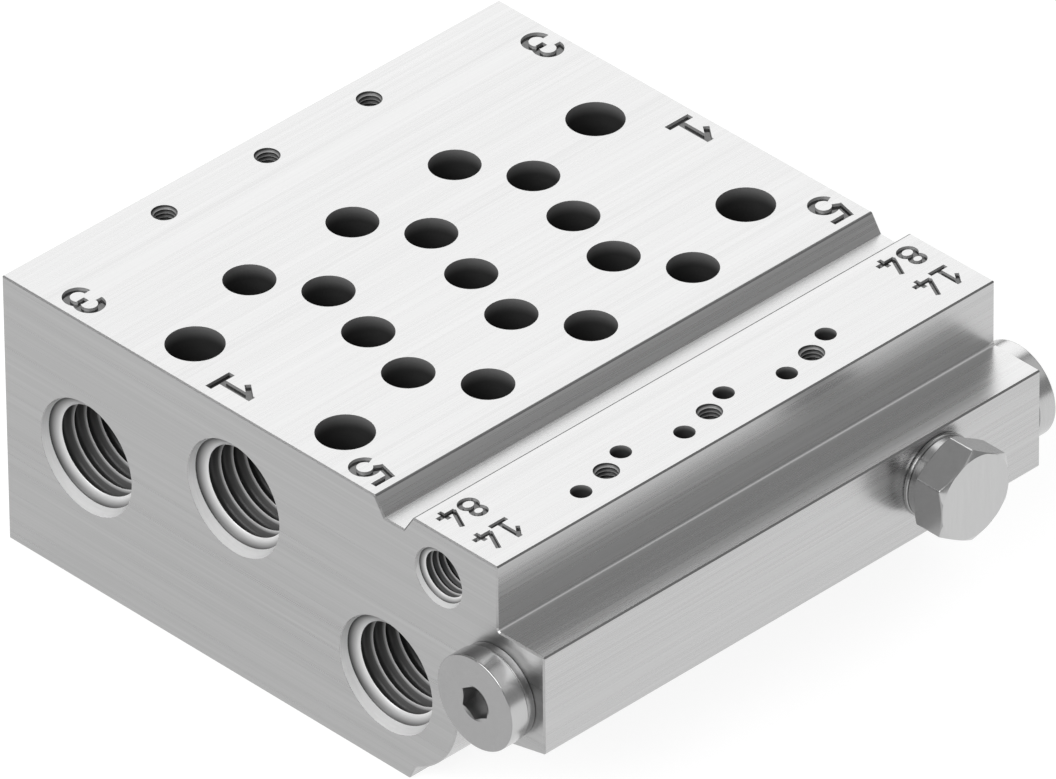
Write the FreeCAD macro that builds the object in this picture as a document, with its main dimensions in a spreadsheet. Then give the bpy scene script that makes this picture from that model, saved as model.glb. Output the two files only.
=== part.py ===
"""Valve manifold rail: a machined aluminium rail that carries three solenoid valves side by side.

One extruded rail holds a supply gallery (1), two exhaust galleries (3 and 5) and two pilot galleries
(84 and 14), all along its length. Each valve station on top has five bores to these galleries and to
the work ports in the underside, two pilot holes and two tapped holes. Gallery 14 is closed by a
socket plug at each end and by a hexagon plug in the step's side face.

Frame: X across the rail, from the side of exhaust 3 to the step, Y along the rail, Z up. The origin
is the centre of the four mounting holes, on the underside. Sizes are in millimetres.
"""
import FreeCAD, Part
import math
import os

import Sketcher

doc = FreeCAD.newDocument("valve_manifold_rail")

# Driving dimensions. Places across the rail are measured from its left side face, heights from the
# underside and places along it from the near end face. An inset is measured back from the strip's or
# the step's right side, and a drop down from the top of the strip or the step.
SIZES = {
    # rail section
    "rail_length": 102.0,
    "rail_height": 47.4,
    "main_width": 78.85,
    "groove_depth": 3.0,
    "groove_floor": 4.0,
    "groove_run": 1.93,
    "strip_width": 17.4,
    "step_width": 9.5,
    "step_drop": 11.3,
    "step_side": 17.25,
    "underside_angle": 12.7,
    "foot_width": 85.2,
    "foot_angle": 64.5,
    "boss_wall": 5.5,
    "edge_break": 0.25,
    "corner_r": 0.5,
    "foot_corner_r": 1.5,
    # mounting holes, a rectangle whose centre is the origin
    "mount_edge": 32.8,
    "mount_end": 8.0,
    "mount_row": 31.6,
    "mount_length": 82.0,
    "mount_hole_r": 4.5,
    # valve stations along the rail
    "station_count": 3,
    "station_pitch": 21.0,
    "station_first": 28.0,
    "bore_shift": 3.1,
    "bore_r": 4.0,
    "bore_mid": 48.5,
    "bore_inner": 11.6,
    "bore_outer": 21.9,
    "tap_r": 2.0,
    "tap_depth": 9.0,
    "tap_left": 5.2,
    "tap_right_inset": 6.01,
    "pilot_r": 1.65,
    "pilot84_inset": 7.91,
    "pilot84_shift": 4.8,
    "pilot14_inset": 4.91,
    "pilot14_shift": 6.2,
    # galleries and the threaded ports at both ends of them
    "port3_x": 17.4,
    "port3_z": 23.3,
    "port1_x": 48.9,
    "port1_z": 31.8,
    "port5_x": 80.6,
    "port5_z": 16.25,
    "exhaust_r": 7.5,
    "supply_r": 6.0,
    "port_r": 9.35,
    "port_depth": 16.0,
    "port_mouth": 0.36,
    "port_mouth_depth": 1.2,
    "port84_inset": 12.16,
    "port84_drop": 7.95,
    "port84_r": 4.68,
    "port84_depth": 10.0,
    "port84_mouth": 0.22,
    "port84_mouth_depth": 0.72,
    "gallery84_r": 3.8,
    "port14_inset": 9.36,
    "port14_drop": 10.2,
    "gallery14_r": 4.25,
    # work ports in the underside
    "work_port_r": 4.85,
    "work_port_depth": 9.0,
    # threaded seats of the three plugs
    "plug_seat_r": 4.85,
    "plug_seat_depth": 11.0,
    "side_seat_depth": 5.0,
    "side_drill_r": 3.0,
    "side_plug_end": 21.9,
    "side_plug_drop": 7.7,
    "plug_clearance": 0.05,
    "ring_clearance": 0.1,
    # socket plugs of gallery 14
    "head_r": 7.8,
    "head_height": 3.45,
    "head_edge": 0.25,
    "shank_length": 8.0,
    "socket_flats": 5.0,
    "socket_depth": 5.5,
    "socket_mouth_r": 2.9,
    "ring_r": 7.6,
    "ring_height": 1.5,
    # hexagon plug in the side of the step
    "hex_flats": 14.0,
    "hex_height": 5.7,
    "hex_disc_inset": 0.05,
    "hex_bevel_angle": 30.0,
    "collar_r": 6.6,
    "collar_height": 1.75,
    "side_shank_length": 4.4,
    "side_ring_r": 6.8,
    "side_ring_height": 0.8,
}
dims = doc.addObject("Spreadsheet::Sheet", "dims")
for row, (alias, value) in enumerate(SIZES.items(), start=1):
    dims.set(f"A{row}", alias)
    dims.set(f"B{row}", str(value))
    dims.setAlias(f"B{row}", alias)
doc.recompute()

# Places that follow from the driving dimensions, as expressions
LEFT = "-(dims.mount_edge + dims.mount_row / 2)"
NEAR = "-(dims.mount_end + dims.mount_length / 2)"
FAR = f"({NEAR} + dims.rail_length)"
GROOVE_TOP_END = "(dims.main_width + 2 * dims.groove_run + dims.groove_floor)"
STRIP_END = f"({GROOVE_TOP_END} + dims.strip_width)"
STEP_END = f"({STRIP_END} + dims.step_width)"
STEP_TOP = "(dims.rail_height - dims.step_drop)"
STEP_FOOT = f"({STEP_TOP} - dims.step_side)"
BOSS_R = "(dims.port_r + dims.boss_wall)"
PORT84 = (f"({STRIP_END} - dims.port84_inset)", "(dims.rail_height - dims.port84_drop)")
PORT14 = (f"({STEP_END} - dims.port14_inset)", f"({STEP_TOP} - dims.port14_drop)")
SIDE_PLUG = ("(dims.rail_length - dims.side_plug_end)", f"({STEP_TOP} - dims.side_plug_drop)")

# Faces to sketch on: origin plane, then the offset along the plane's own x, y and normal, and
# whether a cut into the rail runs along that normal
FACES = {
    "top": ("XY_Plane", LEFT, NEAR, "dims.rail_height", False),
    "underside": ("XY_Plane", LEFT, NEAR, "0", True),
    "near": ("XZ_Plane", LEFT, "0", f"-{NEAR}", False),
    "far": ("XZ_Plane", LEFT, "0", f"-{FAR}", True),
    "side": ("YZ_Plane", NEAR, "0", f"{LEFT} + {STEP_END}", False),
    "turned": ("XZ_Plane", "0", "0", "0", False),
    "across": ("XY_Plane", "0", "0", "0", False),
}


def number(expression):
    """What an expression in the sheet's names comes to."""
    value = dims.evalExpression(str(expression).replace("dims.", ""))
    return float(getattr(value, "Value", value))


def new_body(label):
    body = doc.addObject("PartDesign::Body", label)
    body.Label = label
    return body


def origin_item(body, role):
    return [item for item in body.Origin.OriginFeatures if item.Role == role][0]


def new_sketch(body, name, face, lift="0"):
    """An empty sketch on a named face of the body, or lifted off it along the plane's normal."""
    plane, along_x, along_y, along_normal, _ = FACES[face]
    sketch = body.newObject("Sketcher::SketchObject", name)
    sketch.AttachmentSupport = [(origin_item(body, plane), "")]
    sketch.MapMode = "FlatFace"
    sketch.setExpression(".AttachmentOffset.Base.x", along_x)
    sketch.setExpression(".AttachmentOffset.Base.y", along_y)
    sketch.setExpression(".AttachmentOffset.Base.z", f"{along_normal} + {lift}")
    return sketch


def bind(sketch, name, expression, kind, *geometry):
    """Adds a dimension to a sketch and ties it to the sheet."""
    index = sketch.addConstraint(Sketcher.Constraint(kind, *geometry, number(expression)))
    sketch.renameConstraint(index, name)
    unit = " * 1 deg" if kind == "Angle" else ""
    sketch.setExpression(f"Constraints.{name}", f"{expression}{unit}")


def pin(sketch, name, geometry, point, across, up):
    """Fixes a point at a distance across and up from the sketch's origin."""
    bind(sketch, f"{name}_across", across, "DistanceX", -1, 1, geometry, point)
    bind(sketch, f"{name}_up", up, "DistanceY", -1, 1, geometry, point)


def add_circle(sketch, name, across, up, radius):
    centre = FreeCAD.Vector(number(across), number(up), 0)
    circle = sketch.addGeometry(Part.Circle(centre, FreeCAD.Vector(0, 0, 1), number(radius)), False)
    pin(sketch, name, circle, 3, across, up)
    bind(sketch, f"{name}_radius", radius, "Radius", circle)


def add_polygon(sketch, name, corners):
    """A closed outline of straight edges, each corner pinned where its two expressions say."""
    points = [FreeCAD.Vector(number(across), number(up), 0) for across, up in corners]
    edges = [sketch.addGeometry(Part.LineSegment(a, b), False) for a, b in zip(points, points[1:] + points[:1])]
    for index, edge in enumerate(edges):
        sketch.addConstraint(Sketcher.Constraint("Coincident", edges[index - 1], 2, edge, 1))
        pin(sketch, f"{name}{index + 1}", edge, 1, *corners[index])


def add_hexagon(sketch, flats):
    """A regular hexagon round the sketch's origin, with a corner on the upright axis."""
    radius = f"{flats} / sqrt(3)"
    turns = [math.radians(90 + 60 * index) for index in range(6)]
    points = [FreeCAD.Vector(math.cos(turn), math.sin(turn), 0) * number(radius) for turn in turns]
    edges = [sketch.addGeometry(Part.LineSegment(a, b), False) for a, b in zip(points, points[1:] + points[:1])]
    ring = sketch.addGeometry(Part.Circle(FreeCAD.Vector(0, 0, 0), FreeCAD.Vector(0, 0, 1), number(radius)), True)
    sketch.addConstraint(Sketcher.Constraint("Coincident", ring, 3, -1, 1))
    for index, edge in enumerate(edges):
        sketch.addConstraint(Sketcher.Constraint("Coincident", edges[index - 1], 2, edge, 1))
        sketch.addConstraint(Sketcher.Constraint("PointOnObject", edge, 1, ring))
    for edge in edges[1:]:
        sketch.addConstraint(Sketcher.Constraint("Equal", edges[0], edge))
    sketch.addConstraint(Sketcher.Constraint("PointOnObject", edges[0], 1, -2))
    bind(sketch, "corner_circle", radius, "Radius", ring)


def cut(body, sketch, depth=None, reverse=False, taper=None):
    """Cuts a sketch's outline into the body. No depth means right through."""
    doc.recompute()
    before = body.Shape.Volume
    feature = body.newObject("PartDesign::Pocket", f"{sketch.Name}_cut")
    feature.Profile = sketch
    feature.Reversed = reverse
    if depth is None:
        feature.Type = "ThroughAll"
    else:
        feature.setExpression("Length", depth)
    if taper is not None:
        feature.setExpression("TaperAngle", taper)
    doc.recompute()
    if not feature.Shape.Volume < before:
        raise RuntimeError(f"{feature.Name} cuts nothing")
    return feature


def bore(body, name, face, holes, depth=None, taper=None):
    """Cuts round holes from one face of the rail: holes maps a name to its place and radius."""
    sketch = new_sketch(body, name, face)
    for hole, (across, up, radius) in holes.items():
        add_circle(sketch, hole, across, up, radius)
    return cut(body, sketch, depth, FACES[face][4], taper)


def edges_where(body, test):
    """Names of the edges of the body's last feature that pass a test."""
    names = [f"Edge{index}" for index, edge in enumerate(body.Tip.Shape.Edges, start=1) if test(edge)]
    if not names:
        raise RuntimeError(f"{body.Label} has no such edge")
    return names


def dress(body, kind, name, edges, property_name, expression):
    """A fillet or chamfer on some of the body's edges."""
    base = body.Tip
    feature = body.newObject(kind, name)
    feature.Base = (base, edges)
    feature.setExpression(property_name, expression)
    doc.recompute()
    return feature


def revolve(body, kind, sketch):
    """Turns a sketch's outline a full circle round the body's upright axis."""
    doc.recompute()
    feature = body.newObject(kind, f"{sketch.Name}_turned")
    feature.Profile = sketch
    feature.ReferenceAxis = (origin_item(body, "Z_Axis"), [""])
    feature.Angle = 360.0
    doc.recompute()
    return feature


def place(body, across, along, up, axis, angle):
    """Puts a body where its expressions say, turned by an angle about an axis."""
    body.Placement = FreeCAD.Placement(FreeCAD.Vector(0, 0, 0), FreeCAD.Rotation(FreeCAD.Vector(*axis), angle))
    body.setExpression(".Placement.Base.x", across)
    body.setExpression(".Placement.Base.y", along)
    body.setExpression(".Placement.Base.z", up)


# Rail: the extruded section, with a groove beside the strip, a step, and a boss round gallery 5
rail = new_body("rail_body")
section = new_sketch(rail, "rail_section", "near")


def boss_meets(across, up, angle, above):
    """Where a line at an angle from a point meets the boss's circle, the higher or lower of the two."""
    start = FreeCAD.Vector(across, up, 0)
    along = FreeCAD.Vector(math.cos(math.radians(angle)), math.sin(math.radians(angle)), 0)
    gap = start - FreeCAD.Vector(number("dims.port5_x"), number("dims.port5_z"), 0)
    half = gap.dot(along)
    root = math.sqrt(half * half - gap.dot(gap) + number(BOSS_R) ** 2)
    return start + along * (root - half if above else -root - half)


fixed = {
    "foot": ("dims.foot_width", "0"),
    "step_foot": (STEP_END, STEP_FOOT),
    "step_edge": (STEP_END, STEP_TOP),
    "step_corner": (STRIP_END, STEP_TOP),
    "strip_edge": (STRIP_END, "dims.rail_height"),
    "groove_right_top": (GROOVE_TOP_END, "dims.rail_height"),
    "groove_right": ("dims.main_width + dims.groove_run + dims.groove_floor", "dims.rail_height - dims.groove_depth"),
    "groove_left": ("dims.main_width + dims.groove_run", "dims.rail_height - dims.groove_depth"),
    "groove_left_top": ("dims.main_width", "dims.rail_height"),
    "top_left": ("0", "dims.rail_height"),
    "bottom_left": ("0", "0"),
}
corner = {name: FreeCAD.Vector(number(across), number(up), 0) for name, (across, up) in fixed.items()}
corner["boss_start"] = boss_meets(corner["foot"].x, 0, number("dims.foot_angle"), False)
corner["boss_end"] = boss_meets(corner["step_foot"].x, corner["step_foot"].y, number("dims.underside_angle"), True)
route = ["bottom_left", "foot", "boss_start", "boss_end", "step_foot", "step_edge", "step_corner", "strip_edge"]
route += ["groove_right_top", "groove_right", "groove_left", "groove_left_top", "top_left"]
boss_centre = FreeCAD.Vector(number("dims.port5_x"), number("dims.port5_z"), 0)
parts_of_section = {}
for start, end in zip(route, route[1:] + route[:1]):
    if start == "boss_start":
        circle = Part.Circle(boss_centre, FreeCAD.Vector(0, 0, 1), number(BOSS_R))
        reach = [(corner[place_name] - boss_centre) for place_name in (start, end)]
        turns = [math.atan2(arm.y, arm.x) for arm in reach]
        piece = Part.ArcOfCircle(circle, *turns)
    else:
        piece = Part.LineSegment(corner[start], corner[end])
    parts_of_section[start] = section.addGeometry(piece, False)
for start, end in zip(route, route[1:] + route[:1]):
    joined = Sketcher.Constraint("Coincident", parts_of_section[start], 2, parts_of_section[end], 1)
    section.addConstraint(joined)
for name, (across, up) in fixed.items():
    pin(section, name, parts_of_section[name], 1, across, up)
pin(section, "boss", parts_of_section["boss_start"], 3, "dims.port5_x", "dims.port5_z")
bind(section, "boss_radius", BOSS_R, "Radius", parts_of_section["boss_start"])
bind(section, "foot_slope", "dims.foot_angle", "Angle", -1, 1, parts_of_section["foot"], 1)
bind(section, "underside_slope", "dims.underside_angle", "Angle", -1, 1, parts_of_section["boss_end"], 1)
doc.recompute()
bar = rail.newObject("PartDesign::Pad", "rail_bar")
bar.Profile = section
bar.Reversed = True
bar.setExpression("Length", "dims.rail_length")
doc.recompute()


def runs_along(corners, length):
    """A test for the straight edges of one length that run along the rail from the section's corners."""
    spots = [(corner[name].x + number(LEFT), corner[name].y) for name in corners]

    def test(edge):
        box = edge.BoundBox
        long_enough = abs(box.YLength - number(length)) < 1e-6
        return long_enough and any(math.hypot(box.XMin - x, box.ZMin - z) < 1e-3 for x, z in spots)

    return test


def in_end_face(edge):
    """A test for the edges that lie wholly in one of the rail's two end faces."""
    box = edge.BoundBox
    return any(abs(box.YMin - number(end)) < 1e-6 and abs(box.YMax - number(end)) < 1e-6 for end in (NEAR, FAR))


inner = edges_where(rail, runs_along(["step_corner", "boss_end"], "dims.rail_length"))
dress(rail, "PartDesign::Fillet", "inner_corners", inner, "Radius", "dims.corner_r")
foot_corner = edges_where(rail, runs_along(["boss_start"], "dims.rail_length"))
dress(rail, "PartDesign::Fillet", "foot_corner", foot_corner, "Radius", "dims.foot_corner_r")
dress(rail, "PartDesign::Chamfer", "end_edges", edges_where(rail, in_end_face), "Size", "dims.edge_break")
outer = ["bottom_left", "foot", "step_foot", "step_edge", "strip_edge"]
outer += ["groove_right_top", "groove_left_top", "top_left"]
between_ends = runs_along(outer, "dims.rail_length - 2 * dims.edge_break")
dress(rail, "PartDesign::Chamfer", "long_edges", edges_where(rail, between_ends), "Size", "dims.edge_break")

# Galleries right through the rail, and the threaded ports at both ends of them
centres = {
    "port3": ("dims.port3_x", "dims.port3_z"),
    "port1": ("dims.port1_x", "dims.port1_z"),
    "port5": ("dims.port5_x", "dims.port5_z"),
    "port84": PORT84,
    "port14": PORT14,
}
gallery_radius = {
    "port3": "dims.exhaust_r",
    "port1": "dims.supply_r",
    "port5": "dims.exhaust_r",
    "port84": "dims.gallery84_r",
    "port14": "dims.gallery14_r",
}
main_ports = ["port3", "port1", "port5"]
bore(rail, "galleries", "near", {name: (*centres[name], gallery_radius[name]) for name in centres})
for end in ("near", "far"):
    threads = {name: (*centres[name], "dims.port_r") for name in main_ports}
    bore(rail, f"{end}_ports", end, threads, "dims.port_depth")
    mouths = {name: (*centres[name], "dims.port_r + dims.port_mouth") for name in main_ports}
    slope = "-atan(dims.port_mouth / dims.port_mouth_depth)"
    bore(rail, f"{end}_port_mouths", end, mouths, "dims.port_mouth_depth", slope)
    bore(rail, f"{end}_port84", end, {"port84": (*centres["port84"], "dims.port84_r")}, "dims.port84_depth")
    mouth = {"port84": (*centres["port84"], "dims.port84_r + dims.port84_mouth")}
    slope = "-atan(dims.port84_mouth / dims.port84_mouth_depth)"
    bore(rail, f"{end}_port84_mouth", end, mouth, "dims.port84_mouth_depth", slope)
    bore(rail, f"{end}_plug_seat", end, {"port14": (*centres["port14"], "dims.plug_seat_r")}, "dims.plug_seat_depth")

# Seat of the side plug, and the cross drilling from it to gallery 14
bore(rail, "side_seat", "side", {"seat": (*SIDE_PLUG, "dims.plug_seat_r")}, "dims.side_seat_depth")
bore(rail, "side_drilling", "side", {"drilling": (*SIDE_PLUG, "dims.side_drill_r")}, "dims.port14_inset")

# Mounting holes
rows = ["dims.mount_edge", "dims.mount_edge + dims.mount_row"]
ends = ["dims.mount_end", "dims.mount_end + dims.mount_length"]
mounting = {f"hole{i}{j}": (x, y, "dims.mount_hole_r") for i, x in enumerate(rows) for j, y in enumerate(ends)}
bore(rail, "mounting_holes", "top", mounting)

# One valve station, then the others as a pattern along the rail
ahead = "dims.station_first + dims.bore_shift"
behind = "dims.station_first - dims.bore_shift"
middle = "dims.station_first"
bore_x = {
    "exhaust3": "dims.bore_mid - dims.bore_outer",
    "work2": "dims.bore_mid - dims.bore_inner",
    "supply1": "dims.bore_mid",
    "work4": "dims.bore_mid + dims.bore_inner",
    "exhaust5": "dims.bore_mid + dims.bore_outer",
}
work = {"work2": (bore_x["work2"], ahead, "dims.bore_r"), "work4": (bore_x["work4"], behind, "dims.bore_r")}
station = [
    bore(rail, "work_bores", "top", work),
    bore(rail, "bore3", "top", {"bore": (bore_x["exhaust3"], behind, "dims.bore_r")}, "dims.rail_height - dims.port3_z"),
    bore(rail, "bore1", "top", {"bore": (bore_x["supply1"], middle, "dims.bore_r")}, "dims.rail_height - dims.port1_z"),
    bore(rail, "bore5", "top", {"bore": (bore_x["exhaust5"], ahead, "dims.bore_r")}, "dims.rail_height - dims.port5_z"),
]
taps = {
    "left": ("dims.tap_left", middle, "dims.tap_r"),
    "right": (f"{STRIP_END} - dims.tap_right_inset", middle, "dims.tap_r"),
}
station.append(bore(rail, "tapped_holes", "top", taps, "dims.tap_depth"))
pilot84 = (f"{STRIP_END} - dims.pilot84_inset", "dims.station_first + dims.pilot84_shift", "dims.pilot_r")
station.append(bore(rail, "pilot84", "top", {"hole": pilot84}, "dims.port84_drop"))
pilot14 = (f"{STRIP_END} - dims.pilot14_inset", "dims.station_first - dims.pilot14_shift", "dims.pilot_r")
station.append(bore(rail, "pilot14", "top", {"hole": pilot14}, "dims.step_drop + dims.port14_drop"))
work_ports = {
    "port2": (bore_x["work2"], ahead, "dims.work_port_r"),
    "port4": (bore_x["work4"], behind, "dims.work_port_r"),
}
station.append(bore(rail, "work_ports", "underside", work_ports, "dims.work_port_depth"))
pattern = rail.newObject("PartDesign::LinearPattern", "stations")
pattern.Originals = station
pattern.Direction = (origin_item(rail, "Y_Axis"), [""])
pattern.setExpression("Length", "dims.station_pitch * (dims.station_count - 1)")
pattern.setExpression("Occurrences", "dims.station_count")
rail.Tip = pattern
doc.recompute()


def socket_plug(label, ring_label, end, angle):
    """A screw plug with a round head and a hexagon socket, and its sealing ring, at one end of gallery 14.

    Both are drawn standing on the end face: the ring from 0 up, the head on the ring, the shank below.
    """
    plug = new_body(label)
    profile = new_sketch(plug, f"{label}_profile", "turned")
    shank = "dims.plug_seat_r - dims.plug_clearance"
    top = "dims.ring_height + dims.head_height"
    corners = [
        ("0", "-dims.shank_length"),
        (shank, "-dims.shank_length"),
        (shank, "dims.ring_height"),
        ("dims.head_r", "dims.ring_height"),
        ("dims.head_r", f"{top} - dims.head_edge"),
        ("dims.head_r - dims.head_edge", top),
        ("0", top),
    ]
    add_polygon(profile, "corner", corners)
    revolve(plug, "PartDesign::Revolution", profile)
    socket = new_sketch(plug, f"{label}_socket", "across", top)
    add_hexagon(socket, "dims.socket_flats")
    cut(plug, socket, "dims.socket_depth")
    mouth = new_sketch(plug, f"{label}_socket_mouth", "turned")
    add_polygon(mouth, "corner", [("0", top), ("dims.socket_mouth_r", top), ("0", f"{top} - dims.socket_mouth_r")])
    revolve(plug, "PartDesign::Groove", mouth)
    ring = new_body(ring_label)
    ring_profile = new_sketch(ring, f"{ring_label}_profile", "turned")
    inner_r = f"{shank} + dims.ring_clearance"
    corners = [(inner_r, "0"), ("dims.ring_r", "0"), ("dims.ring_r", "dims.ring_height"), (inner_r, "dims.ring_height")]
    add_polygon(ring_profile, "corner", corners)
    revolve(ring, "PartDesign::Revolution", ring_profile)
    for body in (plug, ring):
        place(body, f"{LEFT} + {PORT14[0]}", end, PORT14[1], (1, 0, 0), angle)
    return plug, ring


near_plug, near_ring = socket_plug("plug_14_near", "seal_ring_14_near", NEAR, 90)
far_plug, far_ring = socket_plug("plug_14_far", "seal_ring_14_far", FAR, -90)

# Side plug: a hexagon with a collar under it, bevelled at both ends, on a thin sealing ring
side_plug = new_body("plug_side")
profile = new_sketch(side_plug, "side_plug_profile", "turned")
shank = "dims.plug_seat_r - dims.plug_clearance"
collar_top = "dims.side_ring_height + dims.collar_height"
corners = [
    ("0", "-dims.side_shank_length"),
    (shank, "-dims.side_shank_length"),
    (shank, "dims.side_ring_height"),
    ("dims.collar_r", "dims.side_ring_height"),
    ("dims.collar_r", collar_top),
    ("0", collar_top),
]
add_polygon(profile, "corner", corners)
revolve(side_plug, "PartDesign::Revolution", profile)
flats = new_sketch(side_plug, "side_plug_hexagon", "across", collar_top)
add_hexagon(flats, "dims.hex_flats")
doc.recompute()
hexagon = side_plug.newObject("PartDesign::Pad", "side_plug_flats")
hexagon.Profile = flats
hexagon.setExpression("Length", "dims.hex_height")
bevels = new_sketch(side_plug, "side_plug_bevels", "turned")
disc_r = "dims.hex_flats / 2 - dims.hex_disc_inset"
beyond_r = f"({disc_r} + dims.hex_flats / 4)"
fall = f"({beyond_r} - ({disc_r})) * tan(dims.hex_bevel_angle * 1 deg)"
hex_top = f"{collar_top} + dims.hex_height"
add_polygon(bevels, "outer", [(disc_r, hex_top), (beyond_r, f"{hex_top} - {fall}"), (beyond_r, hex_top)])
add_polygon(bevels, "inner", [(disc_r, collar_top), (beyond_r, collar_top), (beyond_r, f"{collar_top} + {fall}")])
revolve(side_plug, "PartDesign::Groove", bevels)
side_ring = new_body("seal_ring_side")
ring_profile = new_sketch(side_ring, "side_ring_profile", "turned")
inner_r = f"{shank} + dims.ring_clearance"
corners = [
    (inner_r, "0"),
    ("dims.side_ring_r", "0"),
    ("dims.side_ring_r", "dims.side_ring_height"),
    (inner_r, "dims.side_ring_height"),
]
add_polygon(ring_profile, "corner", corners)
revolve(side_ring, "PartDesign::Revolution", ring_profile)
for body in (side_plug, side_ring):
    place(body, f"{LEFT} + {STEP_END}", f"{NEAR} + {SIDE_PLUG[0]}", SIDE_PLUG[1], (1, 1, 1), 120)
doc.recompute()

# The model is whole before anything is written
for item in doc.Objects:
    if "Invalid" in item.State or "Error" in item.State:
        raise RuntimeError(f"{item.Name} failed: {item.State}")
sub_parts = [rail, near_plug, near_ring, far_plug, far_ring, side_plug, side_ring]
os.makedirs("parts", exist_ok=True)
for body in sub_parts:
    if body.Shape.isNull() or not body.Shape.isValid() or len(body.Shape.Solids) != 1:
        raise RuntimeError(f"{body.Label} is not one valid solid")
for body in sub_parts:
    body.Shape.exportStep(f"parts/{body.Label}.step")
    box = body.Shape.BoundBox
    print(body.Label, round(body.Shape.Volume, 1), [round(v, 2) for v in (box.XMin, box.XMax, box.YMin, box.YMax, box.ZMin, box.ZMax)])
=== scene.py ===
"""The looks of the valve manifold rail: milled aluminium rail with cut threads and engraved port
numbers, two socket-head plugs and one hexagon plug with their metal seal rings."""

import math

import bmesh
import bpy
import numpy as np
from mathutils import Matrix, Vector


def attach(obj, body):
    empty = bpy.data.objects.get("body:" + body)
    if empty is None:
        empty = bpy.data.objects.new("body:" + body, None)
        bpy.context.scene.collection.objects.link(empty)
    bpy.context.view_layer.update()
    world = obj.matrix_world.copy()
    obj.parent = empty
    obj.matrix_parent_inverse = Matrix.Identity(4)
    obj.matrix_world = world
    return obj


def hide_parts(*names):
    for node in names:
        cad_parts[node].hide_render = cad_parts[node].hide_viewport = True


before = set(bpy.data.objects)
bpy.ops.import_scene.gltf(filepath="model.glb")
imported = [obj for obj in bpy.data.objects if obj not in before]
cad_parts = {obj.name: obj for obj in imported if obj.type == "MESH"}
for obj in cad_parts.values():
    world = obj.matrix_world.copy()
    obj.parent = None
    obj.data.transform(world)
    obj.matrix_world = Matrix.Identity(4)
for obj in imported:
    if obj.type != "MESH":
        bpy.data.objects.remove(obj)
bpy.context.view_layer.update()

MM = 0.001
MICRON = 0.000001

# Faces of the rail, in millimetres from the frame's origin. The step's inner corner is (x, z)
RAIL_LEFT = -48.6
RAIL_NEAR = -49.0
RAIL_FAR = 53.0
RAIL_TOP = 47.4
GROOVE_LEFT = 29.5
STRIP_LEFT = 38.5
STRIP_RIGHT = 55.0
STEP_SIDE = 65.01
STEP_CORNER = (55.51, 36.1)

# Hole centres: (x, z) on the end faces, for ports 3, 1 and 5, port 84 and port 14, and (y, z) on the side
LARGE_PORTS = ((-31.2, 23.3), (0.3, 31.8), (32.0, 16.25))
SMALL_PORT = (43.35, 39.45)
GALLERY_PLUG = (55.65, 25.9)
SIDE_PLUG = (31.1, 28.4)

# Each valve station is a row at one y. Its tapped holes lie at two x, and its work ports at (x, y shift)
STATION_ROWS = (-21.0, 0.0, 21.0)
TAP_COLUMNS = (-43.4, 49.5)
WORK_COLUMNS = ((-11.7, 3.1), (11.5, -3.1))


# Meshes

def add_object(name, data):
    """Makes an object with the given data and links it to the scene."""
    item = bpy.data.objects.new(name, data)
    bpy.context.scene.collection.objects.link(item)
    return item


def make_mesh(name, points, faces):
    """Makes a mesh from points in millimetres and faces as lists of point numbers."""
    mesh = bpy.data.meshes.new(name)
    mesh.from_pydata((np.asarray(points) * MM).tolist(), [], faces)
    return mesh


def mend(mesh, merge_within=None, outwards=False):
    """Merges points that lie within a distance in metres, and turns the faces outwards."""
    shape = bmesh.new()
    shape.from_mesh(mesh)
    if merge_within:
        bmesh.ops.remove_doubles(shape, verts=shape.verts, dist=merge_within)
    if outwards:
        bmesh.ops.recalc_face_normals(shape, faces=shape.faces)
    shape.to_mesh(mesh)
    shape.free()


def finish_piece(piece, material, smooth_angle):
    """Gives a piece its material, the body that it belongs to, and smooth shading in which
    edges over the angle in degrees stay sharp."""
    mesh = piece.data
    mesh.materials.clear()
    mesh.materials.append(material)
    mesh.polygons.foreach_set("material_index", np.zeros(len(mesh.polygons), np.int32))
    mesh.polygons.foreach_set("use_smooth", np.ones(len(mesh.polygons), bool))
    mesh.set_sharp_from_angle(angle=math.radians(smooth_angle))
    weighted = piece.modifiers.new("face_weighted_normals", "WEIGHTED_NORMAL")
    weighted.keep_sharp = True
    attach(piece, "root")


def grid_faces(rings, around, first=0):
    """Quads between successive closed rings of a grid whose points run ring by ring."""
    ring = np.arange(rings - 1)[:, None] * around
    following = ring + around
    step = np.arange(around)[None, :]
    ahead = (step + 1) % around
    quads = np.stack([ring + step, ring + ahead, following + ahead, following + step], axis=-1)
    return (quads.reshape(-1, 4) + first).tolist()


def closing_faces(last, around):
    """Quads from a grid's last closed ring, whose points begin at number last, back to its first ring."""
    step = np.arange(around)
    ahead = (step + 1) % around
    return np.stack([last + step, last + ahead, ahead, step], axis=-1).tolist()


def turned(radii, heights, angles):
    """Rings of points: radius and height are functions of the ring and of the angle round the axis."""
    radii = np.broadcast_to(radii, (len(radii), len(angles)))
    heights = np.broadcast_to(heights, (len(heights), len(angles)))
    return np.stack([radii * np.cos(angles), radii * np.sin(angles), heights], axis=-1)


def closed_turning(rings):
    """Points and faces of a turned solid, whose rings run from the far pole to the near one. A fan of
    triangles round the middle of the first and of the last ring closes each end."""
    count, around = rings.shape[:2]
    points = rings.reshape(-1, 3)
    poles = np.stack([rings[0].mean(axis=0), rings[-1].mean(axis=0)])
    points = np.concatenate([points, poles])
    faces = grid_faces(count, around)
    step = np.arange(around)
    ahead = (step + 1) % around
    start = np.stack([np.full(around, count * around), ahead, step], axis=-1)
    last = (count - 1) * around
    end = np.stack([np.full(around, count * around + 1), last + step, last + ahead], axis=-1)
    return points, faces + start.tolist() + end.tolist()


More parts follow.
